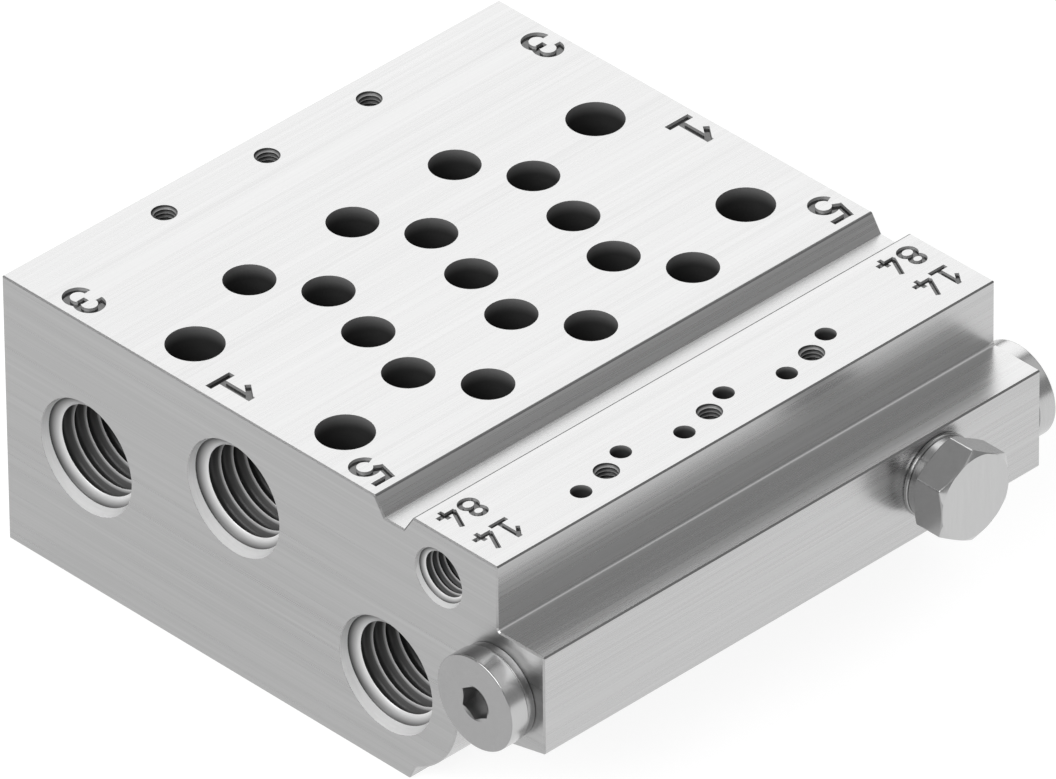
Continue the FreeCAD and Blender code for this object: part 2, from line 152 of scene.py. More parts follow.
def placed(points, origin, axis, up):
    """Points drawn along +Z carried to an origin, with +Z along axis and +X along up."""
    axis = np.array(axis, float)
    up = np.array(up, float)
    side = np.cross(axis, up)
    return np.asarray(points) @ np.stack([up, side, axis]) + np.array(origin, float)


def arc(centre, radii, start, end, count):
    """Points of an arc of an ellipse, centre + (first radius * cos, second radius * sin) at evenly spaced
    angles in degrees. A full turn leaves out its last point."""
    whole = abs(end - start) >= 360.0
    turn = np.radians(np.linspace(start, end, count, endpoint=not whole))
    return np.stack([centre[0] + radii[0] * np.cos(turn), centre[1] + radii[1] * np.sin(turn)], axis=-1)


# Materials

def brushed_grain_group():
    """Fine lines of a brushed or milled face. The pattern is noise on object coordinates, each axis times
    its own count per metre, so that lines run along the axis with the small count. Three widths of line
    are added: broad bands, lines and hairlines. Puts out a shade from 0 to 1, a roughness and a height."""
    group = bpy.data.node_groups.new("brushed_grain", "ShaderNodeTree")
    group.interface.new_socket(name="Counts", in_out="INPUT", socket_type="NodeSocketVector")
    for name in ("Roughness", "Roughness Spread"):
        group.interface.new_socket(name=name, in_out="INPUT", socket_type="NodeSocketFloat")
    for name in ("Shade", "Roughness", "Height"):
        group.interface.new_socket(name=name, in_out="OUTPUT", socket_type="NodeSocketFloat")
    nodes = group.nodes
    links = group.links
    inputs = nodes.new("NodeGroupInput")
    outputs = nodes.new("NodeGroupOutput")
    coordinates = nodes.new("ShaderNodeTexCoord")
    stretched = nodes.new("ShaderNodeVectorMath")
    stretched.operation = "MULTIPLY"
    links.new(coordinates.outputs["Object"], stretched.inputs[0])
    links.new(inputs.outputs["Counts"], stretched.inputs[1])
    total = None
    for scale, detail, share in ((0.12, 2.0, 0.3), (0.55, 3.0, 0.4), (1.9, 2.0, 0.3)):
        noise = nodes.new("ShaderNodeTexNoise")
        noise.inputs["Scale"].default_value = scale
        noise.inputs["Detail"].default_value = detail
        noise.inputs["Roughness"].default_value = 0.6
        links.new(stretched.outputs[0], noise.inputs["Vector"])
        scaled = nodes.new("ShaderNodeMath")
        scaled.operation = "MULTIPLY_ADD"
        scaled.inputs[1].default_value = share
        scaled.inputs[2].default_value = 0.0
        links.new(noise.outputs["Fac"], scaled.inputs[0])
        if total is not None:
            links.new(total, scaled.inputs[2])
        total = scaled.outputs[0]
    contrast = nodes.new("ShaderNodeMapRange")
    contrast.inputs["From Min"].default_value = 0.34
    contrast.inputs["From Max"].default_value = 0.66
    links.new(total, contrast.inputs["Value"])
    centred = nodes.new("ShaderNodeMath")
    centred.operation = "SUBTRACT"
    centred.inputs[1].default_value = 0.5
    links.new(contrast.outputs["Result"], centred.inputs[0])
    spread = nodes.new("ShaderNodeMath")
    spread.operation = "MULTIPLY_ADD"
    links.new(centred.outputs[0], spread.inputs[0])
    links.new(inputs.outputs["Roughness Spread"], spread.inputs[1])
    links.new(inputs.outputs["Roughness"], spread.inputs[2])
    links.new(contrast.outputs["Result"], outputs.inputs["Shade"])
    links.new(spread.outputs[0], outputs.inputs["Roughness"])
    links.new(total, outputs.inputs["Height"])
    return group


GRAIN = brushed_grain_group()


def grain_node(nodes, counts, roughness, spread):
    """A node of the grain group with its lines per metre, its mean roughness and how far that varies."""
    node = nodes.new("ShaderNodeGroup")
    node.node_tree = GRAIN
    node.inputs["Counts"].default_value = counts
    node.inputs["Roughness"].default_value = roughness
    node.inputs["Roughness Spread"].default_value = spread
    return node


def shaded_by(nodes, links, colour, level):
    """The colour multiplied by a brightness."""
    shaded = nodes.new("ShaderNodeMix")
    shaded.data_type = "RGBA"
    shaded.blend_type = "MULTIPLY"
    shaded.inputs["Factor"].default_value = 1.0
    links.new(colour, shaded.inputs["A"])
    links.new(level, shaded.inputs["B"])
    return shaded.outputs["Result"]


def metal(
    name, greys, grains, bump, painted_face_shades=None, deepest_painted_shade=None, painted_shade_depth=None, metallic=1.0, gloss=0.5
):
    """A metal whose grey runs from the dark to the light one with its grain.

    grains is one (counts, roughness, spread), or two: the first for faces that look along Y, the second
    for all others. bump is the grain's height in metres. The two face shades are painted shade: they
    multiply the colour of the two kinds of face, the first for faces that look along Y, the second for
    the others. The valley shade is painted shade: the colour's factor in a thread's valleys, from which it
    rises to 1 at the painted crest highlights by the piece's own attribute. With a shade depth it is the
    factor at that depth, in millimetres, down a hole in the top, a painted shade that lifts towards the
    rim.
    """
    material = bpy.data.materials.new(name)
    material.use_nodes = True
    nodes = material.node_tree.nodes
    links = material.node_tree.links
    shader = nodes["Principled BSDF"]
    shader.inputs["Metallic"].default_value = metallic
    shader.inputs["Specular IOR Level"].default_value = gloss
    grain = [grain_node(nodes, *values) for values in grains]
    outs = {key: grain[0].outputs[key] for key in ("Shade", "Roughness", "Height")}
    ramp = nodes.new("ShaderNodeMix")
    ramp.data_type = "RGBA"
    for end, grey in zip(("A", "B"), greys):
        ramp.inputs[end].default_value = (grey, grey, grey, 1.0)
    colour = ramp.outputs["Result"]
    if len(grain) == 2:
        coordinates = nodes.new("ShaderNodeTexCoord")
        parts = nodes.new("ShaderNodeSeparateXYZ")
        links.new(coordinates.outputs["Normal"], parts.inputs[0])
        size = nodes.new("ShaderNodeMath")
        size.operation = "ABSOLUTE"
        links.new(parts.outputs["Y"], size.inputs[0])
        other = nodes.new("ShaderNodeMath")
        other.operation = "LESS_THAN"
        other.inputs[1].default_value = 0.6
        links.new(size.outputs[0], other.inputs[0])
        for key in outs:
            mix = nodes.new("ShaderNodeMix")
            links.new(other.outputs[0], mix.inputs["Factor"])
            links.new(grain[0].outputs[key], mix.inputs["A"])
            links.new(grain[1].outputs[key], mix.inputs["B"])
            outs[key] = mix.outputs["Result"]
        # Painted shade: faces that look along Y take the first face shade, all others the second.
        level = nodes.new("ShaderNodeMix")
        links.new(other.outputs[0], level.inputs["Factor"])
        level.inputs["A"].default_value = painted_face_shades[0]
        level.inputs["B"].default_value = painted_face_shades[1]
        colour = shaded_by(nodes, links, colour, level.outputs["Result"])
    # Painted shade in thread valleys or down holes in the top, rising to full colour at the painted crest
    # highlights and the rims.
    if deepest_painted_shade is not None:
        level = nodes.new("ShaderNodeMapRange")
        level.inputs["To Min"].default_value = deepest_painted_shade
        if painted_shade_depth:
            level.interpolation_type = "SMOOTHSTEP"
            level.inputs["From Min"].default_value = (RAIL_TOP - painted_shade_depth) * MM
            level.inputs["From Max"].default_value = (RAIL_TOP + 0.3 * painted_shade_depth) * MM
            place = nodes.new("ShaderNodeTexCoord")
            heights = nodes.new("ShaderNodeSeparateXYZ")
            links.new(place.outputs["Object"], heights.inputs[0])
            links.new(heights.outputs["Z"], level.inputs["Value"])
        else:
            crest = nodes.new("ShaderNodeAttribute")
            crest.attribute_name = "painted_thread_light"
            links.new(crest.outputs["Fac"], level.inputs["Value"])
        colour = shaded_by(nodes, links, colour, level.outputs["Result"])
    links.new(outs["Shade"], ramp.inputs["Factor"])
    links.new(colour, shader.inputs["Base Color"])
    links.new(outs["Roughness"], shader.inputs["Roughness"])
    relief = nodes.new("ShaderNodeBump")
    relief.inputs["Strength"].default_value = 1.0
    relief.inputs["Distance"].default_value = bump
    links.new(outs["Height"], relief.inputs["Height"])
    links.new(relief.outputs["Normal"], shader.inputs["Normal"])
    return material


def hole_metal_depth_painted_shade(name, greys, painted_shade_depth):
    """The wall of a drilled hole in the top, with painted shade that is darkest from the given depth down.
    """
    grains = (((500.0, 500.0, 4200.0), 0.36, 0.06),)
    return metal(name, greys, grains, MICRON, deepest_painted_shade=0.16, painted_shade_depth=painted_shade_depth, metallic=0.35, gloss=0.15)


# Painted shade: faces that look along Y, the end faces, are darkened to 0.82 against 1.05 for the others.
RAIL_ALLOY_END_PAINTED_SHADE = metal(
    "brushed_aluminium_end_painted_shade",
    (0.44, 0.54),
    (((16.0, 3200.0, 3200.0), 0.30, 0.10), ((3200.0, 14.0, 3200.0), 0.28, 0.10)),
    4 * MICRON,
    painted_face_shades=(0.82, 1.05),
)
# Painted light and shade on the threads: a near-white colour, painted shade in the valleys and painted
# highlights on the crests and the mouths' cones, by the pieces' own attribute.
THREAD_ALLOY_PAINTED_LIGHT_AND_SHADE = metal(
    "cut_aluminium_painted_light_and_shade",
    (0.84, 0.94),
    (((400.0, 5200.0, 400.0), 0.32, 0.08),),
    2 * MICRON,
    deepest_painted_shade=0.08,
    metallic=0.2,
    gloss=0.1,
)
ENGRAVED_WALL = metal(
    "engraved_wall_aluminium",
    (0.46, 0.54),
    (((1200.0, 1200.0, 1200.0), 0.3, 0.06),),
    MICRON,
    metallic=0.4,
)
# Painted shade: the floors of the engraved numbers are painted dark.
ENGRAVED_FLOOR_PAINTED_SHADE = metal(
    "engraved_floor_painted_shade",
    (0.08, 0.13),
    (((1200.0, 3000.0, 1200.0), 0.14, 0.04),),
    MICRON,
)
# Painted shade down the holes in the top: darkest at 2.6 mm deep in the large holes, at 1.1 mm in the pilot
# holes.
BORE_ALLOY_DEPTH_PAINTED_SHADE = hole_metal_depth_painted_shade("drilled_aluminium_depth_painted_shade", (0.29, 0.35), 2.6)
PILOT_ALLOY_DEPTH_PAINTED_SHADE = hole_metal_depth_painted_shade("pilot_hole_aluminium_depth_painted_shade", (0.36, 0.44), 1.1)
# Painted dark reflection: the long broken edges of the strip and the step are painted darker than the faces
# beside them.
EDGE_ALLOY_PAINTED_DARK_REFLECTION = metal(
    "broken_edge_painted_dark_reflection",
    (0.15, 0.20),
    (((1200.0, 16.0, 1200.0), 0.3, 0.06),),
    MICRON,
)
# Painted shade: plug faces that look along Y are darkened to 0.70 against 1.04 for the others.
PLUG_STEEL_END_PAINTED_SHADE = metal(
    "plated_steel_end_painted_shade",
    (0.47, 0.51),
    (((2600.0, 2600.0, 2600.0), 0.24, 0.05), ((5200.0, 5200.0, 420.0), 0.24, 0.05)),
    MICRON,
    painted_face_shades=(0.70, 1.04),
)
# Painted shade: the seal rings are painted dark, as shade between plug and wall.
RING_ALLOY_PAINTED_SHADE = metal(
    "ring_aluminium_painted_shade",
    (0.28, 0.38),
    (((1400.0, 1400.0, 1400.0), 0.24, 0.08),),
    2 * MICRON,
)
RAIL_MATERIALS = (RAIL_ALLOY_END_PAINTED_SHADE, ENGRAVED_WALL, ENGRAVED_FLOOR_PAINTED_SHADE, BORE_ALLOY_DEPTH_PAINTED_SHADE, PILOT_ALLOY_DEPTH_PAINTED_SHADE, EDGE_ALLOY_PAINTED_DARK_REFLECTION)


# Engraved numbers

def bowl(centre, radii, start, end):
    """Path of a numeral's curved stroke: an arc of an ellipse between two angles in degrees."""
    return arc(centre, radii, start, end, 49)


def numeral(digit):
    """Strokes of a numeral 7.3 units high, each a path and a width. Right is +first, up is +second."""
    wide = 1.2
    if digit == "1":
        return [
            ([(0.0, 0.6), (4.8, 0.6)], wide),
            ([(2.42, 0.7), (2.42, 7.33)], 1.28),
            ([(0.28, 4.2), (2.35, 6.9)], 0.98),
        ]
    if digit == "3":
        return [
            (bowl((2.46, 2.46), (1.86, 1.86), 180.0, 412.0), wide),
            (bowl((2.46, 4.83), (1.86, 1.86), -52.0, 180.0), wide),
            ([(1.95, 3.64), (3.4, 3.64)], 1.08),
        ]
    if digit == "5":
        return [
            (bowl((2.42, 2.46), (1.84, 1.84), 198.0, 512.0), wide),
            ([(0.56, 3.55), (1.42, 7.1)], 1.15),
            ([(0.95, 6.58), (4.65, 6.58)], 1.07),
        ]
    if digit == "8":
        return [
            (bowl((2.6, 2.3), (1.94, 1.68), 0.0, 360.0), 1.22),
            (bowl((2.6, 5.38), (1.6, 1.4), 0.0, 360.0), wide),
        ]
    return [
        ([(0.2, 1.78), (5.3, 1.78)], 1.25),
        ([(3.23, 0.05), (3.23, 3.27)], 1.15),
        ([(0.5, 1.5), (3.3, 7.15)], wide),
    ]


SMALL = 0.695
ENGRAVED_DEPTH = 0.55
CUTTER_ABOVE = 0.4
FLOOR_STEP = 0.003

# Each digit, its foot's distance from the rail's left side, its left edge's from the near end, its scale
NUMBERS = [
    ("3", 9.58, 6.62, 1.0),
    ("1", 41.53, 6.55, 1.0),
    ("5", 70.23, 6.35, 1.0),
    ("3", 9.6, 100.6, 1.0),
    ("1", 41.54, 100.55, 1.0),
    ("5", 70.25, 100.3, 1.0),
    ("8", 88.35, 9.87, SMALL),
    ("4", 88.35, 5.9, SMALL),
    ("1", 95.85, 9.57, SMALL),
    ("4", 95.85, 5.9, SMALL),
    ("8", 88.37, 99.83, SMALL),
    ("4", 88.37, 95.85, SMALL),
    ("1", 95.87, 99.6, SMALL),
    ("4", 95.87, 95.85, SMALL),
]


def stroke_prism(path, width, high, low, closed):
    """A rectangle carried along a flat path: at each point it is offset by half the width to both sides,
    along the mean of the normals of the runs that meet there, from the low height to the high one."""
    path = np.asarray(path, float)
    runs = np.roll(path, -1, axis=0) - path
    if not closed:
        runs[-1] = runs[-2]
    runs /= np.linalg.norm(runs, axis=1)[:, None]
    normals = np.stack([-runs[:, 1], runs[:, 0]], axis=-1)
    before = np.roll(normals, 1, axis=0)
    if not closed:
        before[0] = normals[0]
    joint = normals + before
    joint /= (joint * normals).sum(axis=1)[:, None]
    count = len(path)
    sides = [path + joint * width / 2, path - joint * width / 2]
    corners = [(sides[0], high), (sides[1], high), (sides[1], low), (sides[0], low)]
    points = np.stack([np.column_stack([flat, np.full(count, height)]) for flat, height in corners], axis=1)
    step = np.arange(count if closed else count - 1)[:, None] * 4
    after = (step + 4) % (count * 4)
    corner = np.arange(4)[None, :]
    across = (corner + 1) % 4
    faces = np.stack([step + corner, step + across, after + across, after + corner], axis=-1)
    faces = faces.reshape(-1, 4).tolist()
    if not closed:
        last = (count - 1) * 4
        faces += [[3, 2, 1, 0], [last, last + 1, last + 2, last + 3]]
    return points.reshape(-1, 3), faces


def numeral_cutter():
    """One mesh of upright prisms, one for each stroke, reaching from above the top face into it. Reading
    to the right is -Y on the rail and up is +X. The strokes of a numeral end a few micrometres apart."""
    points = []
    faces = []
    count = 0
    for digit, foot, edge, scale in NUMBERS:
        depth = ENGRAVED_DEPTH * (0.6 + 0.4 * scale)
        for index, (path, width) in enumerate(numeral(digit)):
            path = np.asarray(path, float)
            along_x = RAIL_LEFT + foot + path[:, 1] * scale
            along_y = RAIL_NEAR + edge - path[:, 0] * scale
            lift = FLOOR_STEP * index
            high = RAIL_TOP + CUTTER_ABOVE + lift
            low = RAIL_TOP - depth - lift
            flat = np.stack([along_x, along_y], axis=-1)
            prism, sides = stroke_prism(flat, width * scale, high, low, digit == "8")
            points.append(prism)
            faces += [[corner + count for corner in side] for side in sides]
            count += len(prism)
    mesh = make_mesh("numeral_cutter", np.concatenate(points), faces)
    mend(mesh, outwards=True)
    return add_object("numeral_cutter", mesh)


def rail_face_materials(mesh):
    """The number in RAIL_MATERIALS for each face, by the middle of the face and the way it looks.

    Upright faces inside the outline and outside the groove are the walls of holes from the top, with a
    painted shade that deepens down them, and those in the strip are lighter with a shallower painted
    shade. The long broken edges of the strip and the step lean between 0.3 and 0.8 towards X; they get a
    painted dark reflection. The small faces at the ends of the step's inner corner count as engraved
    walls. Faces in a number's rectangle, below the top, are its floor, painted dark as shade, or its walls.
    """
    count = len(mesh.polygons)
    centres = np.empty(count * 3)
    normals = np.empty(count * 3)
    mesh.polygons.foreach_get("center", centres)
    mesh.polygons.foreach_get("normal", normals)
    x, y, z = (centres.reshape(-1, 3) / MM).T
    lean_x, lean_y, lean_z = np.abs(normals.reshape(-1, 3)).T
    number_of = RAIL_MATERIALS.index
    chosen = np.full(count, number_of(RAIL_ALLOY_END_PAINTED_SHADE), np.int32)

    top_holes_low = 12.0
    in_strip = (x > STRIP_LEFT) & (x < STRIP_RIGHT)
    in_outline = (x > RAIL_LEFT + 1) & (y > RAIL_NEAR + 1) & (y < RAIL_FAR - 1) & (z > top_holes_low)
    # The walls of holes from the top get materials with painted shade down the hole.
    hole = ((x < GROOVE_LEFT) | in_strip) & in_outline & (lean_z < 0.05)
    chosen[hole] = number_of(BORE_ALLOY_DEPTH_PAINTED_SHADE)
    chosen[hole & in_strip] = number_of(PILOT_ALLOY_DEPTH_PAINTED_SHADE)

    near_corner = 0.8
    from_corner = np.hypot(x - STEP_CORNER[0], z - STEP_CORNER[1])
    at_end = (y < RAIL_NEAR + 0.5) | (y > RAIL_FAR - 0.5)
    chosen[(from_corner < near_corner) & at_end & (lean_y < 0.98)] = number_of(ENGRAVED_WALL)

    # Painted dark reflection on the long broken edges.
    broken = (lean_x > 0.3) & (lean_x < 0.8) & (lean_y < 0.1) & (lean_z > 0.6)
    broken &= (from_corner > near_corner) & (z > STEP_CORNER[1] - 0.5)
    chosen[broken] = number_of(EDGE_ALLOY_PAINTED_DARK_REFLECTION)

    numbered = np.zeros(count, bool)
    for _, foot, edge, scale in NUMBERS:
        up = x - RAIL_LEFT - foot
        right = RAIL_NEAR + edge - y
        numbered |= (up > -0.1) & (up < 7.5 * scale) & (right > -0.1) & (right < 5.6 * scale)
    numbered &= (z < RAIL_TOP - 0.15) & (z > RAIL_TOP - 0.62)
    chosen[numbered] = number_of(ENGRAVED_WALL)
    # The numbers' floors get painted shade.
    chosen[numbered & (lean_z > 0.9)] = number_of(ENGRAVED_FLOOR_PAINTED_SHADE)
    return chosen


def make_rail():
    """The rail: a merged copy of the CAD node with the port numbers cut into its top, and with materials
    of their own on its holes, its broken edges and its numbers: painted shade down the holes and on the
    numbers' floors, and a painted dark reflection on the broken edges."""
    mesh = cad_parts["rail_body"].data.copy()
    mesh.name = "rail"
    mend(mesh, merge_within=MICRON)
    rail = add_object("rail", mesh)
    cutter = numeral_cutter()
    cut = rail.modifiers.new("numbers", "BOOLEAN")
    cut.operation = "DIFFERENCE"
    cut.object = cutter
    cut.solver = "EXACT"
    cut.use_self = True
    bpy.context.view_layer.update()
    graph = bpy.context.evaluated_depsgraph_get()
    done = bpy.data.meshes.new_from_object(rail.evaluated_get(graph), depsgraph=graph)
    rail.modifiers.clear()
    rail.data = done
    bpy.data.objects.remove(cutter)
    for layer in list(done.uv_layers):
        done.uv_layers.remove(layer)
    if done.has_custom_normals:
        bpy.context.view_layer.objects.active = rail
        bpy.ops.mesh.customdata_custom_splitnormals_clear()
    finish_piece(rail, RAIL_ALLOY_END_PAINTED_SHADE, smooth_angle=30.0)
    for material in RAIL_MATERIALS[1:]:
        done.materials.append(material)
    done.polygons.foreach_set("material_index", rail_face_materials(done))
    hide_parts("rail_body")


# Cut threads

# A sleeve clears the wall of its hole by the gap, and its back lies this far behind the wall, or behind
# the mouth's rim, in millimetres
SLEEVE_GAP = 0.02
BACK_BEHIND_WALL = 0.11
BACK_BEHIND_MOUTH = 0.12

# Shares of the pitch: half a crest's flat, the flanks before and after it, and where the mouth's cone ends
HALF_CREST = 0.025
FLANK_BEFORE = 0.40
FLANK_AFTER = 0.28
CONE_END = -0.468


def thread_sleeve(wall, crest, pitch, first, start, end, mouth=None, around=96, per_turn=18):
    """Closed sleeve that lines a tapped hole, drawn into the hole along +Z. Its grid follows the helix.

    A point's phase counts the crests before it and its angle runs from 0 to a full turn, so its depth is
    first + pitch * (phase + angle / turn), kept between start and end. Near a crest the height above the
    wall is 1 - sqrt(1 - t * t): t rises from 0 to 1 over 0.4 of the pitch before the crest and falls over
    0.28 after it, so the valleys are round and the crests thin. The first flank is t ** 1.4 high. Before
    it lies the mouth's cone, whose radius falls from the given one by the given share of the depth. The
    thread grows over the first fifth of a turn and fades over the last 0.6 of a pitch.
    Returns points, faces and each point's painted light, from the painted shade of a valley to the
    painted highlight of a crest, with full painted light on the mouth's cone.
    """
    low = math.floor((start - first) / pitch) - 2
    high = math.ceil((end - first) / pitch) + 1
    shares = np.linspace(0.0, 1.0, per_turn, endpoint=False)
    shares = np.sort(np.concatenate([shares, [1.0 + CONE_END - 0.001, 1.0 + CONE_END + 0.001]]))
    per_turn = len(shares)
    phase = (np.arange(low, high)[:, None] + shares[None, :]).reshape(-1, 1)
    rows = len(phase)
    turn = np.linspace(0.0, 1.0, around, endpoint=False)[None, :]
    depth = first + pitch * (phase + turn)
    inside = (depth > start) & (depth < end)
    depth = np.clip(depth, start, end)
    nearest = np.round(phase)
    offset = phase - nearest
    rising = np.clip(1.0 + (offset + HALF_CREST) / FLANK_BEFORE, 0.0, 1.0)
    falling = np.clip(1.0 - (offset - HALF_CREST) / FLANK_AFTER, 0.0, 1.0)
    share = np.where(offset < 0.0, rising, falling)
    grown = np.clip((turn + nearest) / 0.2, 0.0, 1.0)
    height = np.where(nearest <= 0.0, share ** 1.4, 1.0 - np.sqrt(1.0 - share * share))
    height = height * grown * grown * (3.0 - 2.0 * grown)
    fading = np.clip((end - depth) / (0.6 * pitch), 0.0, 1.0)
    height = height * fading * inside
    outside = wall - SLEEVE_GAP
    radii = outside - (outside - crest) * height
    opening = (nearest <= 0.0) & (offset <= HALF_CREST)
    # Painted light: a ramp up the first flank, elsewhere painted shade in the valleys and thin painted
    # highlights on the crests.
    painted_light = np.where(opening, share ** 1.5, 0.1 * share ** 2 + 0.9 * share ** 50) * np.minimum(grown, 1.0)
    back = wall + BACK_BEHIND_WALL
    if mouth is not None:
        before = np.broadcast_to(phase < CONE_END, depth.shape)
        radii = np.where(before, mouth[0] - SLEEVE_GAP - mouth[1] * depth, radii)
        # Painted highlight: the mouth's cone takes full painted light.
        painted_light = np.where(before, 1.0, painted_light)
        back = mouth[0] + BACK_BEHIND_MOUTH
    angles = turn[0] * 2 * np.pi
    rings = np.stack([radii * np.cos(angles), -radii * np.sin(angles), depth], axis=-1)
    caps = np.stack([
        np.stack([back * np.cos(angles), -back * np.sin(angles), np.full(around, level)], axis=-1)
        for level in (end, start)
    ])
    points = np.concatenate([rings, caps]).reshape(-1, 3)
    painted_light = np.concatenate([painted_light, np.zeros((2, around))]).ravel()
    row = np.arange(rows - 1)[:, None] * around
    here = row + np.arange(around - 1)[None, :]
    faces = np.stack([here, here + 1, here + around + 1, here + around], axis=-1)
    faces = faces.reshape(-1, 4).tolist()
    row = np.arange(rows - 1 - per_turn)
    seam = row * around + around - 1
    ahead = (row + per_turn) * around
    faces += np.stack([seam, ahead, ahead + around, seam + around], axis=-1).tolist()
    faces += grid_faces(3, around, first=(rows - 1) * around)
    faces += closing_faces((rows + 1) * around, around)
    return points, faces, painted_light


def thread_piece(name, sleeve, places):
    """Joins a sleeve placed at several holes: each place is (origin, axis into the metal, up)."""
    points, faces, painted_light = sleeve
    all_points = []
    all_faces = []
    for index, (origin, axis, up) in enumerate(places):
        all_points.append(placed(points, origin, axis, up))
        shift = index * len(points)
        all_faces += [[corner + shift for corner in face] for face in faces]
    mesh = make_mesh(name, np.concatenate(all_points), all_faces)
    # The points' painted light and shade, which the thread material reads.
    shade = mesh.attributes.new("painted_thread_light", "FLOAT", "POINT")
    shade.data.foreach_set("value", np.tile(painted_light, len(places)).astype(np.float32))
    mend(mesh, merge_within=0.5 * MICRON, outwards=True)
    finish_piece(add_object(name, mesh), THREAD_ALLOY_PAINTED_LIGHT_AND_SHADE, smooth_angle=40.0)


def make_threads():
    """The threads of the large ports and port 84 at both ends, of the tapped holes in the top, whose
    painted crest highlights are dimmed, and of the work ports in the underside."""
    large = thread_sleeve(
        wall=9.35, crest=7.75, pitch=2.5, first=1.38, start=0.03, end=15.6, mouth=(9.71, 0.3)
    )
    small = thread_sleeve(
        wall=4.68, crest=3.85, pitch=1.25, first=0.7, start=0.03, end=9.6, mouth=(4.9, 0.305),
        around=72, per_turn=14,
    )
    tap = thread_sleeve(
        wall=2.0, crest=1.66, pitch=0.7, first=0.3, start=0.02, end=8.4, around=48, per_turn=10
    )
    work = thread_sleeve(
        wall=4.85, crest=4.35, pitch=1.0, first=0.5, start=0.05, end=8.6, around=48, per_turn=10
    )
    for side, y, inwards in (("near", RAIL_NEAR, 1.0), ("far", RAIL_FAR, -1.0)):
        axis = (0, inwards, 0)
        up = (0.866 * inwards, 0, 0.5)
        large_places = [((x, y, z), axis, up) for x, z in LARGE_PORTS]
        thread_piece(f"port_threads_{side}", large, large_places)
        thread_piece(f"port_84_thread_{side}", small, [((SMALL_PORT[0], y, SMALL_PORT[1]), axis, up)])
    taps = [((x, y, RAIL_TOP), (0, 0, -1), (1, 0, 0)) for x in TAP_COLUMNS for y in STATION_ROWS]
    # The tapped holes' painted light is scaled to 0.45, which dims their painted crest highlights.
    points, faces, painted_light = tap
    thread_piece("station_threads", (points, faces, painted_light * 0.45), taps)
    below = [((x, y + shift, 0.0), (0, 0, 1), (1, 0, 0)) for x, shift in WORK_COLUMNS for y in STATION_ROWS]
    thread_piece("work_port_threads", work, below)


# Plugs and rings

TURNED_STEPS = 144
SHANK_RADIUS = 4.8
SHANK_TIP_RADIUS = 4.3
RING_HOLE_RADIUS = 4.9
GALLERY_RING_HEIGHT = 1.5
SIDE_RING_HEIGHT = 0.8


def corner_circle(apothem, corner):
    """A rounded hexagon's corner circles: their distance from its middle, and the angle that half of one
    takes up as seen from there."""
    centre = (apothem - corner) / math.cos(math.pi / 6)
    return centre, math.atan2(corner * 0.5, centre + corner * math.cos(math.pi / 6))


def rounded_hexagon(angles, apothem, corner):
    """Radius of a hexagon with rounded corners at each angle: apothem / cos(angle from the flat's middle)
    on the flats, and the corner circle near each corner. A corner points to angle 0."""
    from_corner = np.mod(angles + np.pi / 6, np.pi / 3) - np.pi / 6
    flat = apothem / np.cos(np.pi / 6 - np.abs(from_corner))
    centre, reach = corner_circle(apothem, corner)
    inside = np.clip(corner ** 2 - (centre * np.sin(from_corner)) ** 2, 0.0, None)
    round_part = centre * np.cos(from_corner) + np.sqrt(inside)
    return np.where(np.abs(from_corner) < reach, round_part, flat)


def hexagon_angles(apothem, corner, on_flat, on_corner):
    """Angles round a hexagon, closer together on its rounded corners."""
    reach = corner_circle(apothem, corner)[1]
    sector = np.concatenate([
        np.linspace(-reach, reach, on_corner),
        np.linspace(reach, math.pi / 3 - reach, on_flat + 2)[1:-1],
    ])
    return (sector[None, :] + np.arange(6)[:, None] * math.pi / 3).ravel()


def socket_plug_shape():
    """Turned plug with a hexagon socket, +Z out of the rail from the end face. Rings run from the shank's
    end up over the head's rounded edges, across the face, down the countersink and the socket's walls."""
    angles = np.linspace(0.0, 2 * np.pi, TURNED_STEPS, endpoint=False)
    ring_top = GALLERY_RING_HEIGHT
    face = 4.95
    head = 7.8
    edge = 0.28
    low_edge = 0.32
    countersink = 2.95
    socket_depth = 5.5
    drill_depth = 0.8
    profile = np.concatenate([
        [(SHANK_TIP_RADIUS, -8.0), (SHANK_RADIUS, -7.5), (SHANK_RADIUS, ring_top)],
        arc((head - low_edge, ring_top + low_edge), (low_edge, low_edge), -90.0, 0.0, 4),
        arc((head - edge, face - edge), (edge, edge), 0.0, 90.0, 7),
        [(6.9, face), (5.5, face), (4.2, face), (countersink, face)],
    ])
    radii = np.repeat(profile[:, :1], len(angles), axis=1)
    heights = np.repeat(profile[:, 1:], len(angles), axis=1)
    hexagon = rounded_hexagon(angles, 2.5, 0.05)
    countersunk = face - np.clip(countersink - hexagon, 0.0, None) * 0.5
    floor = np.full(len(angles), face - socket_depth)
    radii = np.concatenate([radii, hexagon[None], hexagon[None], hexagon[None] * 0.5])
    heights = np.concatenate([heights, countersunk[None], floor[None], floor[None] - drill_depth])
    return closed_turning(turned(radii, heights, angles))


def seal_ring_shape(radius, thickness, edge):
    """Flat turned ring with rounded outer edges, closed on itself round its hole."""
    angles = np.linspace(0.0, 2 * np.pi, TURNED_STEPS, endpoint=False)
    profile = np.concatenate([
        [(RING_HOLE_RADIUS, 0.0)],
        arc((radius - edge, edge), (edge, edge), -90.0, 0.0, 5),
        arc((radius - edge, thickness - edge), (edge, edge), 0.0, 90.0, 5),
        [(RING_HOLE_RADIUS, thickness)],
    ])
    rings = turned(profile[:, :1], profile[:, 1:], angles)
    count = len(profile)
    faces = grid_faces(count, TURNED_STEPS) + closing_faces((count - 1) * TURNED_STEPS, TURNED_STEPS)
    return rings.reshape(-1, 3), faces


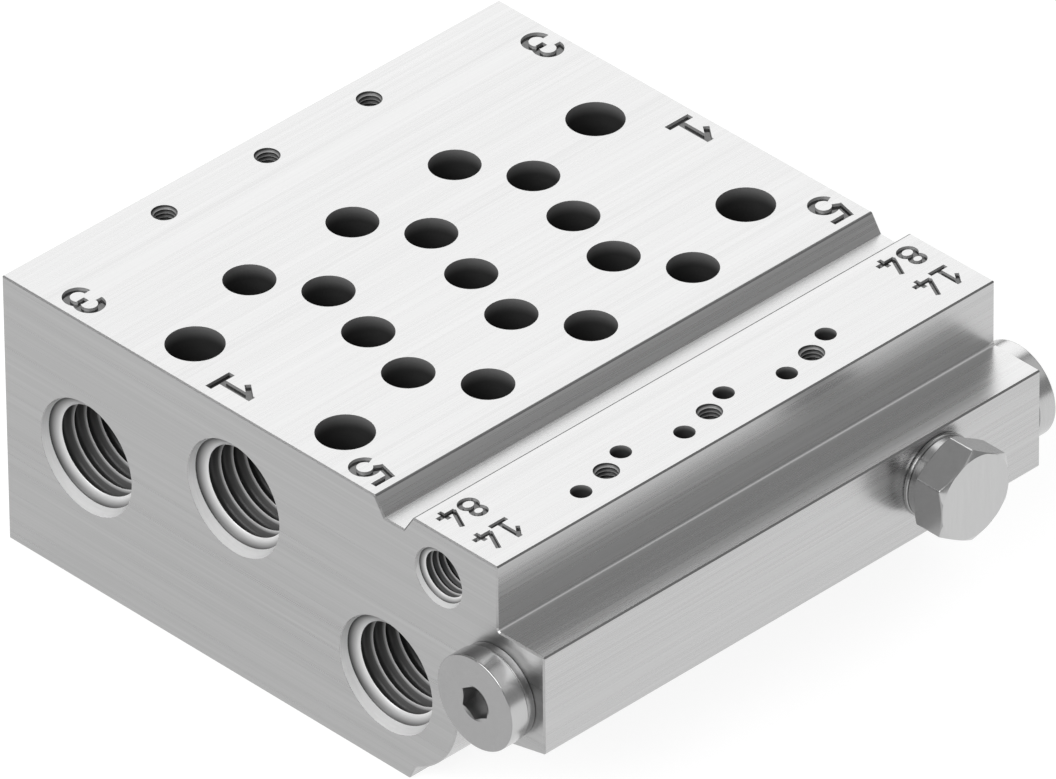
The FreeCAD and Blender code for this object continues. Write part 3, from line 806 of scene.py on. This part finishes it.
def hexagon_plug_shape():
    """Hexagon-head plug, +Z out of the rail from the ring's face. The head's sides follow a rounded
    hexagon. Its bevel falls by tan 30 degrees times the distance outside the face's disc, and the lower
    one rises by the same outside a wider disc. Below the head are the collar and the shank."""
    apothem = 7.0
    corner = 0.45
    disc = 6.9
    low_disc = 7.35
    collar = 6.6
    ring_top = SIDE_RING_HEIGHT
    collar_top = ring_top + 1.75
    face = collar_top + 5.7
    edge = 0.12
    angles = hexagon_angles(apothem, corner, 14, 9)
    hexagon = rounded_hexagon(angles, apothem, corner)
    slope = math.tan(math.radians(30.0))
    drop = np.clip(hexagon - disc, 0.0, None) * slope
    low_drop = np.clip(hexagon - low_disc, 0.0, None) * slope
    full = np.ones(len(angles))
    rows = [
        (SHANK_TIP_RADIUS * full, -4.2 * full),
        (SHANK_RADIUS * full, -3.8 * full),
        (SHANK_RADIUS * full, ring_top * full),
        (6.45 * full, ring_top * full),
        (collar * full, (ring_top + 0.15) * full),
        (collar * full, collar_top * full),
        (6.95 * full, collar_top * full),
        (hexagon - edge, collar_top + low_drop),
        (hexagon - edge * 0.3, collar_top + low_drop + edge * 0.3),
        (hexagon, collar_top + low_drop + edge),
        (hexagon, face - drop - edge),
        (hexagon - edge * 0.3, face - drop - edge * 0.3),
        (hexagon - edge, face - drop + edge * slope * 0.6),
        (np.minimum(disc + 0.06, hexagon - edge * 1.05), (face - 0.025) * full),
        ((disc - 0.1) * full, face * full),
        (5.2 * full, face * full),
        (3.0 * full, face * full),
        (1.0 * full, face * full),
    ]
    rings = turned(np.stack([r for r, _ in rows]), np.stack([h for _, h in rows]), angles)
    return closed_turning(rings)


def add_turned_piece(name, shape, origin, axis, material):
    """Makes a finished plug or ring from its shape, standing on the rail at origin along axis."""
    points, faces = shape
    mesh = make_mesh(name, placed(points, origin, axis, (0, 0, 1)), faces)
    mesh.validate()
    mesh.update()
    piece = add_object(name, mesh)
    finish_piece(piece, material, smooth_angle=22.0)
    return piece


def make_plugs():
    """The socket plug with its ring in port 14 at both ends, and the hexagon plug with its ring in the
    step's side."""
    x, z = GALLERY_PLUG
    plug = socket_plug_shape()
    ring = seal_ring_shape(7.6, GALLERY_RING_HEIGHT, 0.2)
    for side, y, outwards in (("near", RAIL_NEAR, -1.0), ("far", RAIL_FAR, 1.0)):
        for name, shape, material, slot, node in (
            (f"gallery_plug_{side}", plug, PLUG_STEEL_END_PAINTED_SHADE, "plug_steel", f"plug_14_{side}"),
            (f"gallery_ring_{side}", ring, RING_ALLOY_PAINTED_SHADE, "seal_alloy", f"seal_ring_14_{side}"),
        ):
            piece = add_turned_piece(name, shape, (x, y, z), (0, outwards, 0), material)
            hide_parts(node)
    y, z = SIDE_PLUG
    plug = hexagon_plug_shape()
    ring = seal_ring_shape(6.8, SIDE_RING_HEIGHT, 0.25)
    for name, shape, material, slot, node in (
        ("side_hexagon_plug", plug, PLUG_STEEL_END_PAINTED_SHADE, "plug_steel", "plug_side"),
        ("side_ring", ring, RING_ALLOY_PAINTED_SHADE, "seal_alloy", "seal_ring_side"),
    ):
        piece = add_turned_piece(name, shape, (STEP_SIDE, y, z), (1, 0, 0), material)
        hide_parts(node)


# Studio

def towards(azimuth, elevation):
    """Unit vector from the object towards a viewer: azimuth 0 is from -Y, 90 from +X."""
    a = math.radians(azimuth)
    e = math.radians(elevation)
    return Vector((math.sin(a) * math.cos(e), -math.cos(a) * math.cos(e), math.sin(e)))


def make_camera():
    """The photograph's viewpoint: a long lens from the near right corner, slightly rolled."""
    data = bpy.data.cameras.new("camera")
    data.sensor_width = 36.0
    data.lens = 692.547
    data.clip_start = 0.1
    data.clip_end = 100.0
    camera = add_object("camera", data)
    aim = Vector((-3.8147, 14.9238, 17.3021)) * MM
    distance = 3.008141
    back = towards(45.98074, 35.184306)
    roll = math.radians(-0.593556)
    right = Vector((0, 0, 1)).cross(back).normalized()
    up = back.cross(right)
    turned_right = right * math.cos(roll) + up * math.sin(roll)
    turned_up = up * math.cos(roll) - right * math.sin(roll)
    rotation = Matrix((turned_right, turned_up, back)).transposed()
    camera.matrix_world = Matrix.Translation(aim + back * distance) @ rotation.to_4x4()
    bpy.context.scene.camera = camera


def white_share(nodes, links):
    """1 for the rays that show the background: those of the camera, of gloss and through glass."""
    path = nodes.new("ShaderNodeLightPath")
    most = path.outputs["Is Camera Ray"]
    for name in ("Is Glossy Ray", "Is Transmission Ray"):
        node = nodes.new("ShaderNodeMath")
        node.operation = "MAXIMUM"
        links.new(most, node.inputs[0])
        links.new(path.outputs[name], node.inputs[1])
        most = node.outputs[0]
    return most


def make_floor():
    """A wide pale floor. Part of its white is its own, so that the object's shadow on it stays faint."""
    reach = 40.0
    corners = [(-reach, -reach, 0), (reach, -reach, 0), (reach, reach, 0), (-reach, reach, 0)]
    mesh = bpy.data.meshes.new("studio_floor")
    mesh.from_pydata(corners, [], [(0, 1, 2, 3)])
    floor = add_object("studio_floor", mesh)
    material = bpy.data.materials.new("pale_floor")
    material.use_nodes = True
    nodes = material.node_tree.nodes
    links = material.node_tree.links
    shader = nodes["Principled BSDF"]
    shader.inputs["Base Color"].default_value = (0.25, 0.25, 0.25, 1.0)
    shader.inputs["Roughness"].default_value = 1.0
    shader.inputs["Specular IOR Level"].default_value = 0.0
    shader.inputs["Emission Color"].default_value = (1.0, 1.0, 1.0, 1.0)
    share = nodes.new("ShaderNodeMath")
    share.operation = "MULTIPLY"
    share.inputs[1].default_value = 0.85
    links.new(white_share(nodes, links), share.inputs[0])
    links.new(share.outputs[0], shader.inputs["Emission Strength"])
    mesh.materials.append(material)


def soft_lamp(name, azimuth, elevation, size, watts):
    """A large lamp, size wide and high in metres, that faces the object from a direction."""
    data = bpy.data.lights.new(name, "AREA")
    data.shape = "RECTANGLE"
    data.size = size[0]
    data.size_y = size[1]
    data.energy = watts
    lamp = add_object(name, data)
    direction = towards(azimuth, elevation)
    distance = 2.6
    lamp.location = direction * distance
    lamp.rotation_mode = "QUATERNION"
    lamp.rotation_quaternion = direction.to_track_quat("Z", "Y")


def make_light():
    """Three large soft lamps, behind on the left, in front and behind on the right, in a dim plain room.
    The photograph's view sees the first of them in the rail's top."""
    world = bpy.data.worlds.new("studio")
    bpy.context.scene.world = world
    world.use_nodes = True
    background = world.node_tree.nodes["Background"]
    background.inputs["Color"].default_value = (0.35, 0.35, 0.35, 1.0)
    background.inputs["Strength"].default_value = 1.0
    soft_lamp("back_left_lamp", 226.0, 35.0, (2.1, 2.1), 19.5)
    soft_lamp("front_lamp", 5.0, 42.0, (2.8, 1.4), 52.0)
    soft_lamp("back_right_lamp", 134.0, 47.0, (2.8, 1.7), 7.0)


make_camera()
make_floor()
make_light()
make_rail()
make_threads()
make_plugs()
bpy.context.scene.view_settings.view_transform = "Standard"
